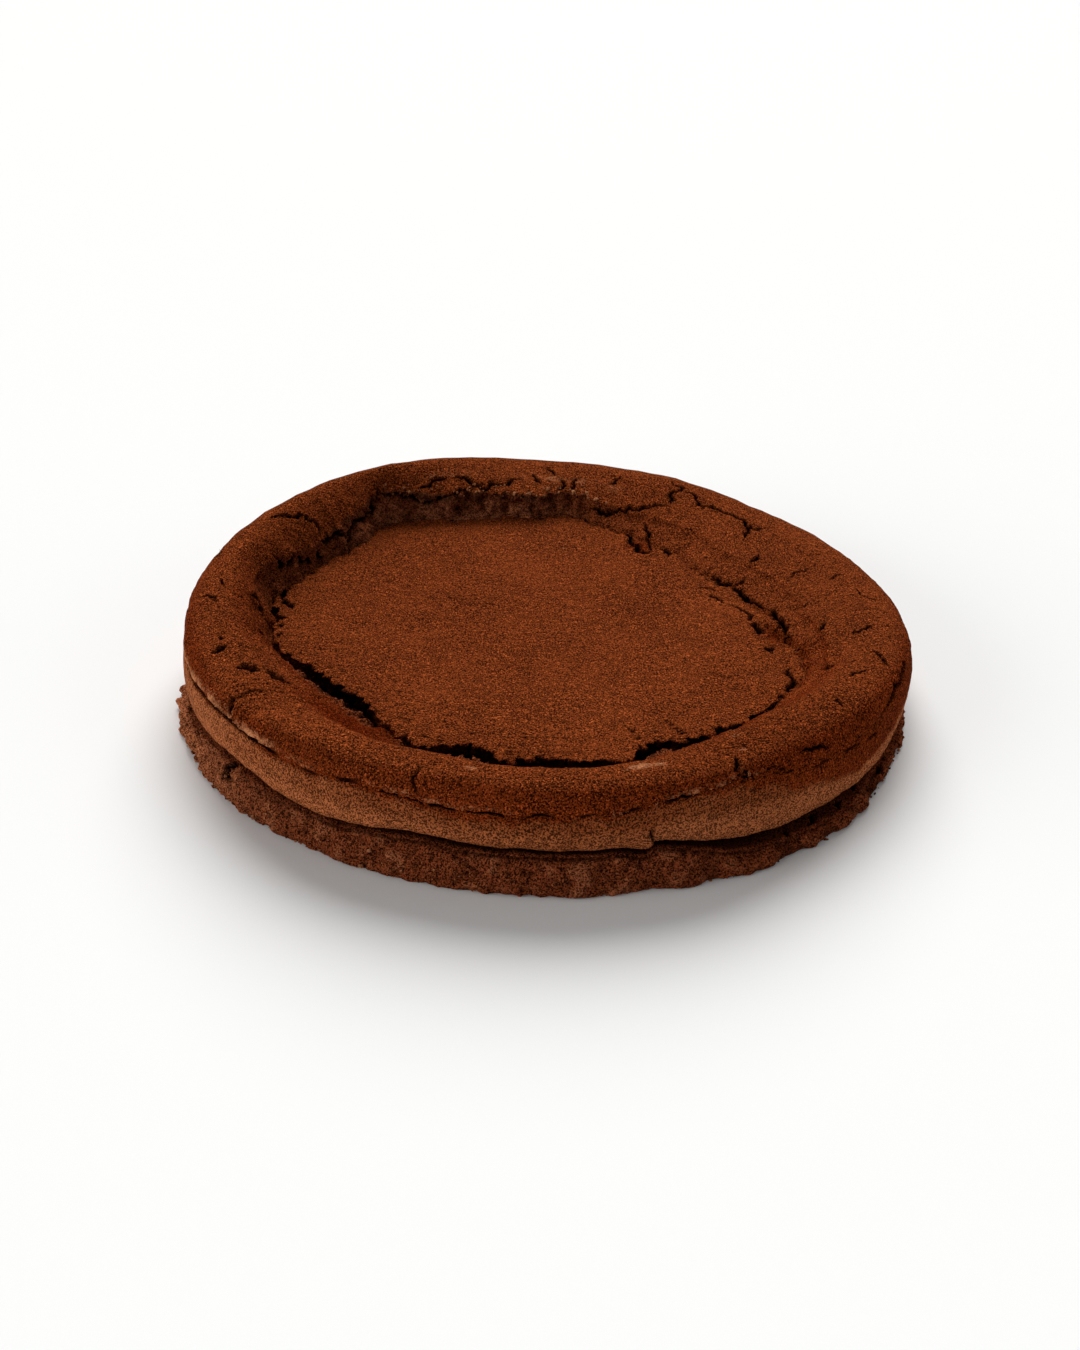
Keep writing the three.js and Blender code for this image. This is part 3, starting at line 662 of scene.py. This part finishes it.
# What the finish reads. Cocoa lies above a ragged line and is thin on steep faces, partly as painted shade;
# the crust and the crumb are paler in places; tan shows along torn edges and where the cocoa is rubbed off;
# painted shade darkens cracks, gaps, pits, the waist under the lip and some slopes
bakedMarks = {
    "dustLine": (0.3, [(-100, 22, -0.6), (-66, 10, 0.2), (-36, 18, -8.5), (-5, 25, -5), (90, 60, -2)]),
    "dustFade": (3.1, [(-16, 24, 1.2), (-50, 16, 3), (-95, 35, 1.6)]),  # millimetres down the band
    "footDust": (0, [(-165, 30, 0.5)]),  # cocoa caught on the torn foot
    # thin cocoa on steep faces, less at the back; it is also painted shade on the steep front faces
    "thinAndShadeOnSlopes": 0.64, "thinAndShadeLessAtBack": 0.8, "thinAndShadeOnRim": (0, [(-52, 24, 0.14), (-118, 14, -0.16)]),
    "besideCrevice": (-132, 14),  # angle and spread of the slope beside the wide crevice that gets painted shade
    "sunken": [(-3.5, -30.5, 4.5, 3), (62, -37, 4, 4)],  # sunken bits between cracks that get painted shade: angle, reach, their spreads
    "paleLip": (0, [(-18, 24, 0.2)]), "paleBand": (1, [(-92, 26, -0.5)]),
    "paleFoot": (0, [(-168, 25, 1)]), "paleLumps": (1, [(-45, 30, -0.7)]),
    # painted shade: inner left wall, right slope, front rim, shaded places, overhang, crevice, seam, pits,
    # hollows, waist, lip
    "paintedShadeInside": (0, [(160, 26, 0.3)]), "paintedShadeRight": (0, [(8, 34, 0.13)]),
    "paintedShadeRim": (0, [(-62, 20, 0.1)]), "paintedShadePlacesAmount": 0.14, "underCrust": 0.65, "crevice": 0.97, "seam": 0.97,
    "pit": 0.5, "wallHollow": 0.6, "waist": 0.96, "underLip": 0.85,
    "deepWaist": (1, [(-163, 36, -0.8), (-32, 24, -0.55)]), "chunkShade": (0.35, [(-40, 30, 0.65)]),
    "tanSeam": (0, [(-158, 22, 0.85), (-138, 10, 0.5), (-104, 14, 0.5), (-67, 10, 0.7)]),
    "tanCrust": (0, [(95, 25, 0.5)]),
    "rubbed": [  # angle, reach, spread round, spread along the reach, strength
        (-75.2, 0.2, 3.4, 1.6, 1.1), (-72.8, 2.6, 1.2, 0.8, 0.7), (-59.5, 0, 2.2, 1.2, 0.6),
        (-60.3, 5.8, 1.4, 1.0, 0.7), (-66, 2.8, 1.6, 0.8, 0.5), (-102, 0.4, 1.2, 0.9, 1.1),
        (-118, 2, 2.0, 1.0, 0.35), (112, -8, 9, 3, 0.42), (88, -9, 12, 3, 0.5), (76, -10, 4, 3, 0.5),
        (-134.5, 11, 4, 1.6, 0.5), (-128, 12.5, 4, 1.2, 0.6), (-148, 11.5, 4, 1.2, 0.7),
    ],
}
wide = swells(angle, bakedMarks)
ringAngles = np.linspace(-180, 180, 1441)


def ringHeight(at):  # the height of one position along the half section, at the angle of each point
    return np.interp(angle, ringAngles, skinAt(ringAngles, np.full(len(ringAngles), at))[1])


seamHeight = ringHeight(place["seamTop"] + 0.5)
lipHeight = ringHeight(float(place["band"]))
upBand = (height - lipHeight) / (seamHeight - lipHeight)  # 0 at the lip, 1 at the seam
# painted shade: the slope beside the wide crevice and sunken bits between cracks are darkened as if in
# shade
paintedShadePlaces = around(*bakedMarks["besideCrevice"]) * (on["brow"] * ramp(part, 0.25, 0.75) + on["wall"])
for centre, at, spread, tall in bakedMarks["sunken"]:
    paintedShadePlaces += (on["floor"] + on["crevice"]) * around(centre, spread) * np.exp(-((reach - at) / tall) ** 2)


def dustMarks():  # where cocoa lies, where it is thin (partly painted shade on steep front faces), and where the open crumb shows
    aboveSeam = height - seamHeight - wide["dustLine"] - 0.9 * medium - 0.5 * fine
    dust = np.where(stretch <= place["seamTop"], ramp((aboveSeam - 0.5) / wide["dustFade"], -1, 0), 1)
    dust = np.where(stretch == place["shoulder"], ramp(aboveSeam, -1.6, 0.6), dust)
    dust *= 1 - 0.9 * torn
    # thin cocoa on steep faces, less at the back; partly painted shade on steep front faces and shaded
    # places
    thinDustAndShade = bakedMarks["thinAndShadeOnSlopes"] * (1 - ramp(normal[:, 2], 0.72, 0.985))
    thinDustAndShade *= 1 - bakedMarks["thinAndShadeLessAtBack"] * ramp(spots[:, 1], -40, 50)
    thinDustAndShade = np.maximum(thinDustAndShade + wide["thinAndShadeOnRim"] * onRim, paintedShadePlaces)
    caught = onFoot * wide["footDust"] * ramp(medium + fine, -0.2, 0.5)
    crumb = onFoot + on["shelf"] + on["waist"] + on["underlip"] + on["under"] + torn - 0.75 * caught
    return np.maximum(dust, caught), thinDustAndShade, crumb


def paleMark():
    paleLip = ramp(upBand - wide["paleLip"], 0.72, 0.3)
    pale = np.maximum(paleLip * wide["paleBand"], farLeft * (0.95 + 0.25 * medium)) + 0.2 * coarse
    pale = pale * on["band"] + on["shoulder"] * 0.5 * farLeft
    pale += onFoot * wide["paleFoot"] * (0.9 + 0.5 * medium)
    pale += onFoot * np.clip(0.7 * medium + 0.3 * coarse - 0.15, 0, 0.8) * wide["paleLumps"]
    return pale + torn * tornBack * np.clip(0.4 + 0.6 * medium, 0, 0.9)


def paintedShadeMark():  # painted shade in cracks, gaps, pits, overhangs, the waist and on some slopes; the darkest one holds
    look = bakedMarks
    # painted shade on the inner left wall, the right slope, the front rim and the shaded places
    paintedSlopeShade = wide["paintedShadeInside"] * (on["brow"] * ramp(part, 0.2, 0.9) + on["wall"])
    paintedSlopeShade += wide["paintedShadeRight"] * (on["brow"] + on["wall"]) + wide["paintedShadeRim"] * onRim + look["paintedShadePlacesAmount"] * paintedShadePlaces
    # painted shadow under the overhanging crust, in the crevice, the waist under the lip, the seam and the
    # hollows of the torn wall
    underCrust = on["wall"] * tornBack * ramp(part, 0.4, 0.05) * ramp(medium, -0.5, 0.2)
    inGap = on["crevice"] * ramp(height, 22.6, 21) + on["wall"] * ramp(height, 19.8, 17.8)
    inWaist = on["waist"] + on["shelf"] * ramp(part, 0, 0.3) + on["underlip"] * ramp(part, 0.8, 0.4)
    underLip = on["skirt"] * ramp(part, 0.74, 0.94)
    inSeam = on["seam"] * ramp(part, 0.02, 0.4) + on["seamTop"] * (1 - part)
    wallHollows = torn * tornBack * np.clip(-0.2 - medium - 0.5 * fine, 0, 1)
    return np.maximum.reduce([
        np.clip(1.45 - nearness, 0, 1) * np.clip(crack["depth"] / 1.2, 0.3, 1),
        look["underCrust"] * underCrust,
        paintedSlopeShade,
        look["crevice"] * tornFront * inGap,
        onFoot * np.clip(-0.8 * chunks - 0.2, 0, 0.75) * wide["chunkShade"],
        look["pit"] * onFoot * pit + look["wallHollow"] * wallHollows,
        wide["deepWaist"] * (look["waist"] * inWaist + look["underLip"] * underLip),
        look["seam"] * inSeam * ramp(seamBite(angle), 0.25, 0.9),
    ])


def tanMark(paintedShade):
    tan = np.exp(-((height - seamHeight - 1.2) / (1.3 + 0.8 * farLeft)) ** 2) * on["shoulder"]
    tan *= wide["tanSeam"] * (0.7 + 0.5 * medium)
    tan = np.maximum(tan, on["brow"] * ramp(part, 0.9, 1) * wide["tanCrust"])
    for centre, at, spread, tall, strength in bakedMarks["rubbed"]:
        spot = np.exp(-((reach - at) / tall) ** 2) * around(centre, spread)
        tan = np.maximum(tan, strength * spot * (0.75 + 0.5 * fine) * onRim)
    return tan * (1 - np.clip(paintedShade, 0, 1))


dust, thinDustAndShade, crumb = dustMarks()
pale = paleMark()
paintedShade = paintedShadeMark()
tan = tanMark(paintedShade)
print("relief up to", np.linalg.norm(shaped - spots, axis=1).max().round(2), "mm, marks set")


def makePiece(name, spots, tris, marks):
    mesh = bpy.data.meshes.new(name)
    mesh.vertices.add(len(spots))
    mesh.vertices.foreach_set("co", toMetres(spots).astype(np.float32).ravel())
    mesh.loops.add(3 * len(tris))
    mesh.loops.foreach_set("vertex_index", tris.astype(np.int32).ravel())
    mesh.polygons.add(len(tris))
    mesh.polygons.foreach_set("loop_start", np.arange(len(tris), dtype=np.int32) * 3)
    mesh.polygons.foreach_set("use_smooth", np.ones(len(tris), dtype=bool))
    for mark, values in marks.items():
        layer = mesh.attributes.new(mark, "FLOAT", "POINT")
        layer.data.foreach_set("value", np.clip(values, 0, 1).astype(np.float32))
    mesh.update()
    mesh.validate()
    piece = bpy.data.objects.new(name, mesh)
    bpy.context.scene.collection.objects.link(piece)
    return piece


torte = makePiece("torte_crust", shaped, tris,
                  {"dust": dust, "thinDustAndShade": thinDustAndShade, "pale": pale, "crumb": crumb, "tan": tan, "paintedShade": paintedShade})

# Loose crumbs along the foot and at the back wall, small flakes in the front seam, and a few pale specks
# on the sunken top
crumbLook = {
    "seed": 5, "uneven": 0.32,
    "strewn": [  # how many, angles, positions along the half section, sizes, how tan
        (130, (-178, -15), (1.1, 2.7), (0.4, 1.1), 0.3), (110, (-165, -100), (1.1, 2.6), (0.3, 0.7), 0.8),
        (34, (-178, -130), (1.5, 2.7), (0.7, 1.5), 0.25), (90, (78, 126), (10.7, 11.1), (0.5, 1.2), 0.7),
        (90, (80, 132), (11.5, 12.9), (0.5, 1.6), 0.12), (26, (-60, 40), (12.2, 13.05), (0.4, 0.8), 0.1),
    ],
    "flakes": [  # angle, position along the half section, width, height, how tan
        (-80.3, 8.1, 1.4, 5.0, 0.2), (-79.4, 8.0, 0.9, 2.8, 0.15), (-81.4, 8.0, 1.0, 3.0, 0.2),
        (-75.4, 8.1, 1.3, 5.2, 0.25), (-74.3, 8.1, 0.9, 2.8, 0.2), (-84.5, 8.0, 0.7, 1.8, 0.2),
        (-70, 8.5, 1.0, 2.0, 0.4), (-67.5, 8.6, 1.2, 1.8, 0.4), (-64.5, 8.6, 1.0, 1.6, 0.35),
        (-61.6, 9.0, 0.9, 2.0, 0.3),
    ],
    "placed": [  # angle, position along the half section, size, how tan
        (-149, 1.7, 2.6, 0.1), (-145.3, 1.6, 2.4, 0.1), (-153.5, 1.6, 2.0, 0.2), (-116, 2.4, 1.0, 1),
        (-117.5, 1.9, 1.2, 1), (-111, 2.1, 0.9, 1), (120.5, 10.95, 1.2, 1), (98, 10.95, 1.5, 0.9),
        (94.5, 10.9, 1.6, 1), (90, 10.8, 1.5, 0.8), (84, 10.9, 1.5, 1), (81, 10.85, 1.6, 1),
        (78.5, 10.9, 1.4, 1), (76, 10.95, 1.2, 0.9), (97.5, 13.45, 0.45, 1), (84.5, 13.51, 0.45, 1),
        (39.5, 13.59, 0.35, 0.8), (-53, 13.22, 0.5, 1), (-8.5, 13.18, 0.5, 1),
    ],
}


def roundLump():  # a sphere of 80 triangles
    gold = (1 + 5 ** 0.5) / 2
    points = [(-1, gold, 0), (1, gold, 0), (-1, -gold, 0), (1, -gold, 0), (0, -1, gold), (0, 1, gold),
              (0, -1, -gold), (0, 1, -gold), (gold, 0, -1), (gold, 0, 1), (-gold, 0, -1), (-gold, 0, 1)]
    faces = [(0, 11, 5), (0, 5, 1), (0, 1, 7), (0, 7, 10), (0, 10, 11), (1, 5, 9), (5, 11, 4), (11, 10, 2),
             (10, 7, 6), (7, 1, 8), (3, 9, 4), (3, 4, 2), (3, 2, 6), (3, 6, 8), (3, 8, 9), (4, 9, 5),
             (2, 4, 11), (6, 2, 10), (8, 6, 7), (9, 8, 1)]
    halves = {}
    smaller = []
    for face in faces:
        mids = []
        for a, b in zip(face, face[1:] + face[:1]):
            key = (min(a, b), max(a, b))
            if key not in halves:
                halves[key] = len(points)
                points.append(tuple((p + q) / 2 for p, q in zip(points[a], points[b])))
            mids.append(halves[key])
        a, b, c = face
        ab, bc, ca = mids
        smaller += [(a, ab, ca), (b, bc, ab), (c, ca, bc), (ab, bc, ca)]
    points = np.array(points)
    return points / np.linalg.norm(points, axis=1)[:, None], np.array(smaller)


def strewCrumbs():
    draw = np.random.default_rng(crumbLook["seed"])
    rows = [np.array(crumbLook["placed"], float)]
    for count, angles, alongs, sizes, tanShare in crumbLook["strewn"]:
        tans = (draw.uniform(0, 1, count) < tanShare) * draw.uniform(0.5, 1, count)
        rows.append(np.stack([draw.uniform(*angles, count), draw.uniform(*alongs, count),
                              sizes[0] + (sizes[1] - sizes[0]) * draw.uniform(0, 1, count) ** 2, tans], 1))
    rows = np.concatenate(rows)
    flakes = np.array(crumbLook["flakes"])
    tall = np.append(np.ones(len(rows)), flakes[:, 3] / flakes[:, 2])
    rows = np.concatenate([rows, flakes[:, [0, 1, 2, 4]]])
    here = skinSpots(rows[:, 0], rows[:, 1])
    ball, faces = roundLump()
    count = len(rows)
    bumps = 1 + crumbLook["uneven"] * draw.normal(0, 1, (count, len(ball))).clip(-1.5, 1.5)
    shape = ball * draw.uniform(0.6, 1.2, (count, 1, 3)) * bumps[..., None]
    shape[..., 2] *= tall[:, None]
    spots = here[:, None, :] + 0.5 * rows[:, 2, None, None] * shape
    spots[..., 2] = np.maximum(spots[..., 2], 0.02)
    tris = faces[None] + (np.arange(count) * len(ball))[:, None, None]
    tans = np.repeat(rows[:, 3], len(ball))
    return spots.reshape(-1, 3), tris.reshape(-1, 3), tans


crumbSpots, crumbTris, crumbTans = strewCrumbs()
zeros = np.zeros(len(crumbSpots))
crumbs = makePiece("torte_crumbs", crumbSpots, crumbTris,
                   {"dust": zeros, "thinDustAndShade": zeros, "pale": 0.5 * crumbTans + 0.3, "crumb": zeros + 1,
                    "tan": crumbTans, "paintedShade": zeros})
print("crumbs", len(crumbTris), "triangles")

# The finish: dry cocoa over a baked crust, open crumb, tan torn edges; each as a dark and a light tone;
# the thin cocoa tone is partly painted shade, and the hollow tone is near-black painted shade
crustFinish = {
    "dust": ((0.034, 0.0064, 0.0014), (0.255, 0.0522, 0.0120)),
    # thin cocoa, darker and redder, partly painted shade
    "thinShadedDust": ((0.020, 0.0024, 0.0004), (0.168, 0.0205, 0.0025)),
    "brightGrain": (0.53, 0.117, 0.0290), "brightThinShaded": (0.36, 0.050, 0.0075),
    "crust": ((0.040, 0.0090, 0.0026), (0.30, 0.0735, 0.0205)),
    "paleCrust": ((0.115, 0.031, 0.0094), (0.585, 0.180, 0.0640)),
    "crumb": ((0.024, 0.0048, 0.0018), (0.29, 0.0640, 0.0205)), "brightCrumb": (0.48, 0.135, 0.050),
    "paleCrumb": ((0.125, 0.035, 0.0120), (0.68, 0.230, 0.0980)),
    # hollow: the near-black colour of the painted shade
    "tan": (0.58, 0.225, 0.098), "hollow": (0.009, 0.0022, 0.0009),
    "powder": (2100, 1, 0.5), "grain": (620, 3, 0.65), "patch": (38, 3, 0.6),  # scale, detail, roughness
    "speckle": (1400, 3, 0.7), "bright": (1900, 1, 0.5), "ripple": (300, 2, 0.6),
    "rippleStretch": (0.45, 1, 1),
    "toneRange": (0.62, 0.78), "fleckRange": (0.77, 0.93), "brightRange": (0.6, 0.68),
    "brightCrumbRange": (0.6, 0.7, 0, 0.8), "roughness": (0.7, 0.97),
    "specular": 0.004, "bump": 1.0, "bumpHeight": 0.0013,
}


def cocoaFinish():
    finish = bpy.data.materials.new("cocoa_crust")
    finish.use_nodes = True
    tree = finish.node_tree
    shader = tree.nodes["Principled BSDF"]
    look = crustFinish
    where = tree.nodes.new("ShaderNodeTexCoord").outputs["Object"]

    def feed(node, inputs):  # each input from a value or from another node
        for socket, value in inputs.items():
            if isinstance(value, (int, float, tuple)):
                node.inputs[socket].default_value = value
            else:
                tree.links.new(value, node.inputs[socket])

    def stretched(by):
        node = tree.nodes.new("ShaderNodeVectorMath")
        node.operation = "MULTIPLY"
        feed(node, {0: where, 1: by})
        return node.outputs[0]

    def noise(name, at=where):
        node = tree.nodes.new("ShaderNodeTexNoise")
        scale, detail, roughness = look[name]
        feed(node, {"Vector": at, "Scale": scale, "Detail": detail, "Roughness": roughness})
        return node.outputs["Fac"]

    def spread(value, low, high, bottom=0.0, top=1.0):
        node = tree.nodes.new("ShaderNodeMapRange")
        feed(node, {"Value": value, "From Min": low, "From Max": high, "To Min": bottom, "To Max": top})
        return node.outputs["Result"]

    def blend(amount, first, second):
        node = tree.nodes.new("ShaderNodeMix")
        node.data_type = "RGBA"
        first, second = ((*tone, 1) if isinstance(tone, tuple) else tone for tone in (first, second))
        feed(node, {0: amount, 6: first, 7: second})
        return node.outputs[2]

    def added(value, amount, base):  # the value times the amount, on top of the base
        node = tree.nodes.new("ShaderNodeMath")
        node.operation = "MULTIPLY_ADD"
        feed(node, {0: value, 1: amount, 2: base})
        return node.outputs[0]

    def mark(name):
        node = tree.nodes.new("ShaderNodeAttribute")
        node.attribute_name = name
        return node.outputs["Fac"]

    def broken(name, by, amount, low, high):  # a mark whose edge is broken up by a noise
        return spread(added(by, amount, mark(name)), low + amount / 2, high + amount / 2)

    powder = noise("powder")
    grain = noise("grain")
    speckle = noise("speckle")
    brightSpots = noise("bright")
    tone = spread(added(noise("patch"), 0.18, added(grain, 0.22, powder)), *look["toneRange"])
    bright = spread(brightSpots, *look["brightRange"])
    fleck = spread(added(grain, 0.3, added(speckle, 0.4, powder)), *look["fleckRange"])
    pale = mark("pale")
    thickDust = blend(bright, blend(tone, *look["dust"]), look["brightGrain"])
    # the thin cocoa tone, partly painted shade on steep front faces
    thinShadedDust = blend(bright, blend(tone, *look["thinShadedDust"]), look["brightThinShaded"])
    cocoaTone = blend(mark("thinDustAndShade"), thickDust, thinShadedDust)
    crustTone = blend(pale, blend(fleck, *look["crust"]), blend(fleck, *look["paleCrust"]))
    crumbTone = blend(pale, blend(fleck, *look["crumb"]), blend(fleck, *look["paleCrumb"]))
    crumbTone = blend(spread(brightSpots, *look["brightCrumbRange"]), crumbTone, look["brightCrumb"])
    colour = blend(broken("dust", grain, 1.2, 0.25, 0.75), crustTone, cocoaTone)
    colour = blend(mark("crumb"), colour, crumbTone)
    colour = blend(broken("tan", speckle, 1.4, 0.3, 0.85), colour, look["tan"])
    # painted shade: near black where the painted shade mark is set
    colour = blend(mark("paintedShade"), colour, look["hollow"])
    rippled = added(noise("ripple", stretched(look["rippleStretch"])), 1.4, grain)
    height = added(powder, 0.7, added(mark("crumb"), speckle, rippled))
    bump = tree.nodes.new("ShaderNodeBump")
    feed(bump, {"Strength": look["bump"], "Distance": look["bumpHeight"], "Height": height})
    feed(shader, {"Base Color": colour, "Roughness": spread(mark("dust"), 0, 1, *look["roughness"]),
                  "Specular IOR Level": look["specular"], "Normal": bump.outputs["Normal"]})
    return finish


cocoa = cocoaFinish()
for piece in (torte, crumbs):
    piece.data.materials.append(cocoa)
    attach(piece, "root")
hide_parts("torte")
print("finish made")

# Studio: pale floor, dim white surround, a broad light from behind and weaker ones low at the sides
studio = {
    "floorSize": 9.0, "floorColour": (0.88, 0.88, 0.87), "floorRoughness": 0.9, "floorSpecular": 0.1,
    "surround": 0.2,
    "key": {"from": (0.05, 1.0, 0.84), "strength": 3.66, "angle": 46},
    "left": {"from": (-1.0, -0.45, 0.13), "strength": 2.35, "angle": 60},
    "right": {"from": (1.0, -0.3, 0.2), "strength": 0.5, "angle": 60},
}
bpy.ops.mesh.primitive_plane_add(size=studio["floorSize"])
floor = bpy.context.object
floor.name = "studio_floor"
floorPaint = bpy.data.materials.new("studio_floor")
floorPaint.use_nodes = True
floorShader = floorPaint.node_tree.nodes["Principled BSDF"]
floorShader.inputs["Base Color"].default_value = (*studio["floorColour"], 1)
floorShader.inputs["Roughness"].default_value = studio["floorRoughness"]
floorShader.inputs["Specular IOR Level"].default_value = studio["floorSpecular"]
floor.data.materials.append(floorPaint)
world = bpy.data.worlds.new("surround")
world.use_nodes = True
surround = world.node_tree.nodes["Background"]
surround.inputs["Color"].default_value = (1, 1, 1, 1)
surround.inputs["Strength"].default_value = studio["surround"]
bpy.context.scene.world = world
for lightName in ("key", "left", "right"):
    lamp = bpy.data.lights.new(lightName, "SUN")
    lamp.energy = studio[lightName]["strength"]
    lamp.angle = math.radians(studio[lightName]["angle"])
    light = bpy.data.objects.new(lightName, lamp)
    light.rotation_euler = Vector(studio[lightName]["from"]).to_track_quat("Z", "Y").to_euler()
    bpy.context.scene.collection.objects.link(light)
bpy.context.scene.view_settings.view_transform = "Standard"

# Camera at the photograph's angle
view = {"elevation": 29.83, "distance": 0.6444, "aim": (-0.00122, 0.0001, 0.00432), "lens": 53.33,
        "sensor": 36}
cameraData = bpy.data.cameras.new("camera")
cameraData.lens = view["lens"]
cameraData.sensor_width = view["sensor"]
camera = bpy.data.objects.new("camera", cameraData)
tilt = math.radians(view["elevation"])
camera.location = (view["aim"][0], view["aim"][1] - view["distance"] * math.cos(tilt),
                   view["aim"][2] + view["distance"] * math.sin(tilt))
camera.rotation_euler = (math.pi / 2 - tilt, 0, 0)
bpy.context.scene.collection.objects.link(camera)
bpy.context.scene.camera = camera
print("studio and camera set")
